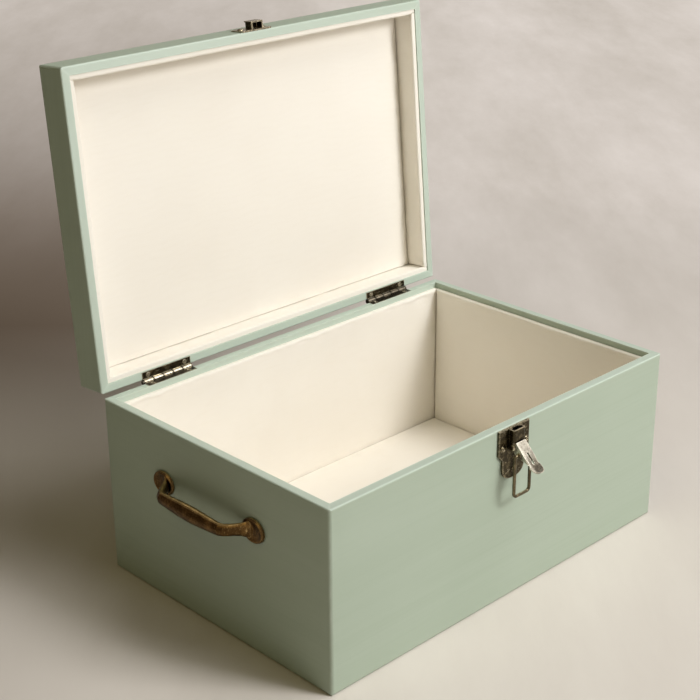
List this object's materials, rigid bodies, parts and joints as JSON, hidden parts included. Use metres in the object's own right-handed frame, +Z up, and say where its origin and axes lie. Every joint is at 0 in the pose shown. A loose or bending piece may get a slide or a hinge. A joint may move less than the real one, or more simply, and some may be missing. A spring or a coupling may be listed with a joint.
{
  "type": "keepsake box",
  "caption": "Painted wooden keepsake box with a padded fabric lining, a hinged lid held open by stop hinges, a toggle latch with a wire loop and cast side handles.",
  "frame": {"origin": "middle of the case's underside, on the floor it stands on", "axes": "+X along the front to the viewer's right, +Y from the latch side to the hinge side, +Z up"},
  "size_m": [0.3928, 0.3109, 0.381],
  "materials": {
    "paint": "satin paint on wood, brushed on",
    "lining": "matte woven",
    "hinge_metal": "dark antique",
    "latch_metal": "antique, rubbed bright on the edges",
    "handle_metal": "cast, antique bronze"
  },
  "bodies": {
    "case": {"front_wall": "paint", "back_wall": "paint", "left_wall": "paint", "right_wall": "paint", "floor_board": "paint", "floor_pad": "lining", "front_pad": "lining", "back_pad": "lining", "left_pad": "lining", "right_pad": "lining", "left_hinge_case_leaf": "hinge_metal", "left_hinge_pin": "hinge_metal", "right_hinge_case_leaf": "hinge_metal", "right_hinge_pin": "hinge_metal", "hinge_case_screws": "hinge_metal", "latch_plate": "latch_metal", "latch_bracket": "latch_metal", "lever_rivet": "latch_metal", "latch_screws": "latch_metal", "left_handle": "handle_metal", "right_handle": "handle_metal", "left_handle_screws": "handle_metal", "right_handle_screws": "handle_metal"},
    "lid": {"lid_top_board": "paint", "lid_front_rail": "paint", "lid_back_rail": "paint", "lid_left_rail": "paint", "lid_right_rail": "paint", "lid_top_pad": "lining", "lid_front_pad": "lining", "lid_back_pad": "lining", "lid_left_pad": "lining", "lid_right_pad": "lining", "left_hinge_lid_leaf": "hinge_metal", "right_hinge_lid_leaf": "hinge_metal", "hinge_lid_screws": "hinge_metal", "strike_hook": "latch_metal", "strike_screws": "latch_metal"},
    "lever": {"latch_lever": "latch_metal"},
    "bush": {"loop_bush": "latch_metal"},
    "loop": {"wire_loop": "latch_metal"}
  },
  "joints": [
    {"name": "lid_hinge", "type": "hinge", "parent": "case", "child": "lid", "pos_m": [0, 0.1189, 0.1385], "axis": [1, 0, 0], "range_deg": [0, 94.7]},
    {"name": "lever_swing", "type": "hinge", "parent": "case", "child": "lever", "pos_m": [0, -0.1225, 0.123], "axis": [1, 0, 0], "range_deg": [0, 52]},
    {"name": "bush_turn", "type": "hinge", "parent": "lever", "child": "bush", "pos_m": [0, -0.12729, 0.11844], "axis": [1, 0, 0], "range_deg": [-52, 0]},
    {"name": "loop_swing", "type": "hinge", "parent": "bush", "child": "loop", "pos_m": [0, -0.12729, 0.11844], "axis": [-1, 0, 0], "range_deg": [-2, 180]}
  ],
  "couplings": [
    {"joint": "bush_turn", "follows": "lever_swing", "ratio": -1}
  ]
}
